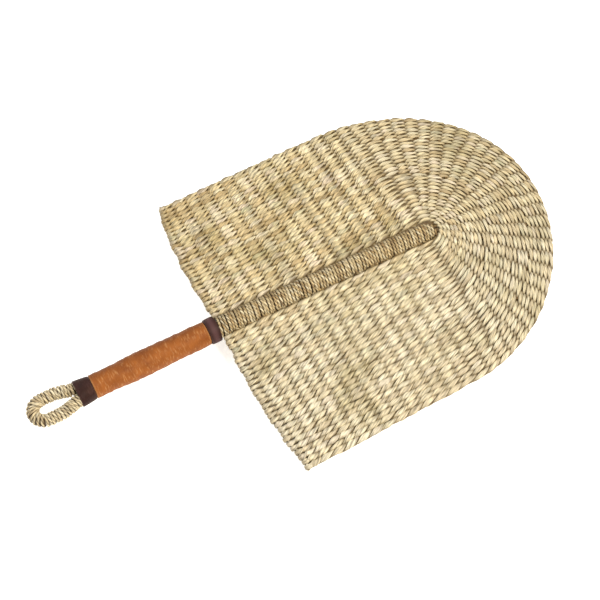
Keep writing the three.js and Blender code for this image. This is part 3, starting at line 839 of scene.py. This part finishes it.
# crumples: waves round and along the handle, added up
crumple = {"waves": 16, "stretch": (0.6, 2.2), "phase": (0, 6.3)}


def lumps(x, angle, seed, size, height, most=4):
    random = np.random.default_rng(seed)
    total = 0 * x
    for _ in range(crumple["waves"]):
        turns = random.integers(-most, most + 1)
        lengthwise = x / size * random.uniform(*crumple["stretch"])
        wave = turns * angle + lengthwise + random.uniform(*crumple["phase"])
        total = total + random.normal(0, 1) * np.cos(wave)
    return height * total / math.sqrt(crumple["waves"])


# the tan strip winds round the grip, each turn over the edge of the one before
gripStrip = {
    "pitch": 11.5,
    "step": 0.22,               # its edge stands this high on the turn before
    "rise": 0.9,                # share of a turn over which it rises to that edge
    "riseCurve": 3,
    "sink": 0.3,
    "wander": {"seed": 3, "size": 9.0, "height": 1.1},
    "lumps": {"seed": 5, "size": 8.0, "height": 0.3, "most": 2},
    "crumples": {"seed": 6, "size": 2.2, "height": 0.085, "most": 5},
    "wornEnds": (0.8, 1.3),     # how pale, over what length
    "seam": (0.3, 0.97, 0.04),  # how dark, where in a turn and how wide
    "dark": 0.08,
    "darkFlank": (0.4, -0.3, 1.0),      # painted shade towards +Y
}


def gripOutline(x, angle):
    start, end = handle["grip"]
    t = (x - start) / (end - start)
    turn = (x + lumps(x, angle, **gripStrip["wander"])) / gripStrip["pitch"] - angle / (2 * np.pi)
    part = turn % 1.0
    rise = gripStrip["rise"]
    step = np.where(part < rise, part / rise, (1 - part) / (1 - rise))
    radius = handle["gripOuter"] + handle["gripSwell"] * np.sin(np.pi * t) ** 2
    radius = radius + gripStrip["step"] * (step ** gripStrip["riseCurve"] - gripStrip["sink"])
    radius = radius + lumps(x, angle, **gripStrip["lumps"]) + lumps(x, angle, **gripStrip["crumples"])
    pale, paleLength = gripStrip["wornEnds"]
    wornAndSheen = np.clip(1 - np.minimum(x - start, end - x) / paleLength, 0, 1) * pale
    seamDark, seamAt, seamWide = gripStrip["seam"]
    seam = seamDark * np.clip(1 - np.abs(part - seamAt) / seamWide, 0, 1)
    # painted shade: darker towards the +Y flank, on top of a slight even darkening
    darkened = gripStrip["dark"] + ramped(np.cos(angle), *gripStrip["darkFlank"])
    return radius, wornAndSheen, np.maximum(seam, darkened)


# a band's strip laps over its own start on the underside; angles are in radians from +Y
bandStrip = {
    "crown": 0.3,
    "crownCurve": 0.7,
    "lumps": {"seed": 11, "size": 6.0, "height": 0.08},
    "lapHeight": 0.3,
    "lapRise": (4.0, 0.25),     # from this angle, over this one
    "lapDrop": (4.35, 0.06),    # to this angle
    "lapLine": (0.6, 4.3, 0.05),        # how dark, where and how wide
    "wornEnds": (0.45, 0.9),
    "middleHighlight": {"frontBand": 0.6, "rearBand": 0.0},     # painted highlight: how pale the middle is
}


def bandOutline(part, first, last):
    start, end = handle[part]
    middleHighlight = bandStrip["middleHighlight"][part]

    def outline(x, angle):
        t = (x - start) / (end - start)
        radius = first(angle) + (last(angle) - first(angle)) * t + lumps(x, angle, **bandStrip["lumps"])
        radius = radius + bandStrip["crown"] * np.sin(np.pi * t) ** bandStrip["crownCurve"]
        dropAt, dropOver = bandStrip["lapDrop"]
        lap = fadeIn(angle, *bandStrip["lapRise"]) * smoothStep((dropAt - angle) / dropOver)
        radius = radius + bandStrip["lapHeight"] * lap
        lineDark, lineAt, lineWide = bandStrip["lapLine"]
        line = lineDark * np.clip(1 - np.abs(angle - lineAt) / lineWide, 0, 1)
        pale, paleLength = bandStrip["wornEnds"]
        ends = pale * np.clip(1 - np.minimum(x - start, end - x) / paleLength, 0, 1)
        # the front band's middle is painted paler as a painted highlight, in the same mark as the worn ends
        return radius, np.maximum(ends, middleHighlight * np.sin(np.pi * t) ** 2), line

    return outline


def evenRound(radius):
    return lambda angle: radius + 0 * angle


def mouthRound(angle):
    wide, high = handle["mouth"]
    return wide * high / np.hypot(high * np.cos(angle), wide * np.sin(angle))


makePiece("grip_skin", [sleeveSkin("grip", gripOutline, (handle["inner"],) * 2)],
          tanSkin, ["grip_leather"])
frontRound = evenRound(handle["frontOuter"])
frontOutline = bandOutline("frontBand", frontRound, frontRound)
makePiece("front_band_skin", [sleeveSkin("frontBand", frontOutline, (handle["inner"],) * 2)],
          darkSkin, ["front_band"])
rearOutline = bandOutline("rearBand", mouthRound, evenRound(handle["rearOuter"]))
legAngle = 2 * np.pi * np.arange(handle["around"]) / handle["around"]
legs = 2 * handle["legHalfGap"] * np.abs(np.cos(legAngle))
rearInner = (np.maximum(legs, handle["legLeast"]), handle["inner"])
makePiece("rear_band_skin", [sleeveSkin("rearBand", rearOutline, rearInner)],
          darkSkin, ["rear_band"])
print("leather on the handle")


# hanging loop: a bent cord under slanting turns of grass string
loop = {
    "legEnd": (-262.3, 3.3),
    "legStraight": 2.9,
    "mouth": (-270.3, 5.3),
    "spreadX": -273.2,
    "spreadLength": 18.0,
    "spreadCurve": 1.3,
    "turnX": -299.9,
    "turnRadius": 9.3,
    "legSteps": 12,
    "turnSteps": 40,
    "fineSteps": 400,
    "softened": 40,             # rounds of smoothing
    "cord": 3.5,
    "cordRings": 90,
    "cordSides": 14,
    "cordTone": 0.2,
    # painted shade: the core shows only between the wraps, so most of it takes the shade colour
    "cordCrease": 0.75,
    "ply": 1.5,
    "apart": 0.62,
    "twist": 9.0,
    "tones": (0.74, 0.25),
    "wraps": 36,
    "stepsPerTurn": 26,
    "knotTurns": 0.5,
    "lift": 0.8,                # of the string's middle above the cord
    "liftStray": 0.06,
    "stray": 0.3,
    "paleMix": 0.35,
    "seed": 5,
    "stringSeed": 40,
}


def loopLine(count, fromMouth):
    t = np.linspace(0, 1, loop["legSteps"])
    mouthX, mouthHalf = loop["mouth"]
    spread = mouthHalf + (loop["turnRadius"] - mouthHalf) * np.sin(np.pi / 2 * t) ** loop["spreadCurve"]
    leg = np.stack([loop["spreadX"] - loop["spreadLength"] * t, spread], -1)
    ends = [(mouthX, mouthHalf)]
    if not fromMouth:
        endX, endHalf = loop["legEnd"]
        ends = [(endX, endHalf), (endX - loop["legStraight"], endHalf)] + ends
    leg = np.concatenate([np.array(ends), leg])
    swing = np.linspace(np.pi / 2, 3 * np.pi / 2, loop["turnSteps"])
    arcX = loop["turnX"] + loop["turnRadius"] * np.cos(swing)
    arc = np.stack([arcX, loop["turnRadius"] * np.sin(swing)], -1)
    rough = np.concatenate([leg, arc, (leg * [1, -1])[::-1]])
    length = np.concatenate([[0], np.cumsum(np.linalg.norm(np.diff(rough, axis=0), axis=1))])
    s = np.linspace(0, length[-1], loop["fineSteps"])
    soft = np.stack([np.interp(s, length, rough[:, 0]), np.interp(s, length, rough[:, 1])], -1)
    for _ in range(loop["softened"]):
        soft[1:-1] = soft[1:-1] * 0.5 + (soft[:-2] + soft[2:]) * 0.25
    at = np.linspace(0, length[-1], count)
    return np.stack([np.interp(at, s, soft[:, 0]), np.interp(at, s, soft[:, 1]), 0 * at], -1)


def loopPieces():
    random = np.random.default_rng(loop["seed"])
    core = loopLine(loop["cordRings"], False)
    up = np.tile([0.0, 0.0, 1.0], (len(core), 1))
    cord = strand(core, up, 2 * loop["cord"], 2 * loop["cord"], loop["cordSides"],
                  tone=loop["cordTone"], crease=loop["cordCrease"])
    count = loop["wraps"] * loop["stepsPerTurn"] + 1
    t = np.linspace(0, loop["wraps"], count)
    line = loopLine(count, True)
    run = unit(np.gradient(line, axis=0))
    knots = np.arange(0, loop["wraps"] + 1, loop["knotTurns"])
    angle = -2 * np.pi * t
    side = np.stack([run[:, 1], -run[:, 0], 0 * t], -1)
    out = side * np.cos(angle)[:, None] + np.array([0, 0, 1.0]) * np.sin(angle)[:, None]
    reach = loop["cord"] + loop["lift"] + np.interp(t, knots, random.normal(0, loop["liftStray"], len(knots)))
    shift = np.interp(t, knots, random.normal(0, loop["stray"], len(knots)))
    wound = line + out * reach[:, None] + run * shift[:, None]
    strings = twistedString(wound, out, loop, loop["stringSeed"])
    for one in strings:
        one["marks"]["faded"] = np.full(len(one["points"]), loop["paleMix"])
    return [cord], strings


loopCord, loopWrap = loopPieces()
makePiece("loop_core_cord", loopCord, windingGrass, ["loop_cord"])
makePiece("loop_winding", loopWrap, windingGrass, ["loop_wrap"])
print("loop wound")

# stems and core keep their solids, under the weave
for name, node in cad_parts.items():
    if name.startswith(("cross_spoke", "tip_spoke", "handle_core")):
        node.data.materials.clear()
        node.data.materials.append(stemMaterial)


# pale floor, soft light and the photograph's camera; lengths in metres from here on
studio = {
    "floor": "#FAFAF8",
    "floorHalf": 12,
    "floorRough": 0.9,
    "floorGlow": 0.6,           # lit from below, so that shadows stay faint
    "sky": 0.64,
    "aim": (0.05, 0, 0),
    "key": {"place": (0.4, -0.75, 1.4), "size": 0.4, "power": 20, "colour": "#FFF5E4"},
    "fill": {"place": (-0.5, 0.8, 1.3), "size": 0.9, "power": 6, "colour": "#E8F0FF"},
    "camera": (-0.376129, -0.720651, 1.369581),     # from the spine's origin
    "cameraTurn": (29.20388, 2.80283, -27.32863),
    "lens": 120.0,
    "sensor": 36.0,
    "farthest": 40,
}
half = studio["floorHalf"]
floorMesh = bpy.data.meshes.new("paleFloor")
floorCorners = [(-half, -half, 0), (half, -half, 0), (half, half, 0), (-half, half, 0)]
floorMesh.from_pydata(floorCorners, [], [(0, 1, 2, 3)])
floorMaterial, floorTree = newMaterial("paperSweep")
paper = addNode(floorTree, "ShaderNodeBsdfPrincipled", {
    "Base Color": linear(studio["floor"]), "Roughness": studio["floorRough"],
    "Emission Color": linear(studio["floor"]), "Emission Strength": studio["floorGlow"],
})
addNode(floorTree, "ShaderNodeOutputMaterial", None, {"Surface": paper.outputs["BSDF"]})
floorMesh.materials.append(floorMaterial)
floor = bpy.data.objects.new("pale_floor", floorMesh)
bpy.context.scene.collection.objects.link(floor)

world = bpy.data.worlds.new("softStudio")
world.use_nodes = True
bpy.context.scene.world = world
world.node_tree.nodes["Background"].inputs["Color"].default_value = (1, 1, 1, 1)
world.node_tree.nodes["Background"].inputs["Strength"].default_value = studio["sky"]


def softBox(name, place, size, power, colour):
    data = bpy.data.lights.new(name, "AREA")
    data.shape, data.size, data.energy = "DISK", size, power
    data.color = linear(colour)[:3]
    lamp = bpy.data.objects.new(name, data)
    bpy.context.scene.collection.objects.link(lamp)
    lamp.location = place
    way = np.array(studio["aim"]) - np.array(place)
    tilt = math.atan2(math.hypot(way[0], way[1]), -way[2])
    lamp.rotation_euler = (tilt, 0, math.atan2(way[1], way[0]) - math.pi / 2)


softBox("key_softbox", **studio["key"])
softBox("fill_softbox", **studio["fill"])

cameraData = bpy.data.cameras.new("photoCamera")
cameraData.lens = studio["lens"]
cameraData.sensor_width = studio["sensor"]
cameraData.clip_end = studio["farthest"]
camera = bpy.data.objects.new("photo_camera", cameraData)
bpy.context.scene.collection.objects.link(camera)
camera.location = np.array(studio["camera"]) + spineShift / mmPerMetre
camera.rotation_euler = [math.radians(a) for a in studio["cameraTurn"]]
bpy.context.scene.camera = camera
bpy.context.scene.view_settings.view_transform = "Standard"
print("studio set")
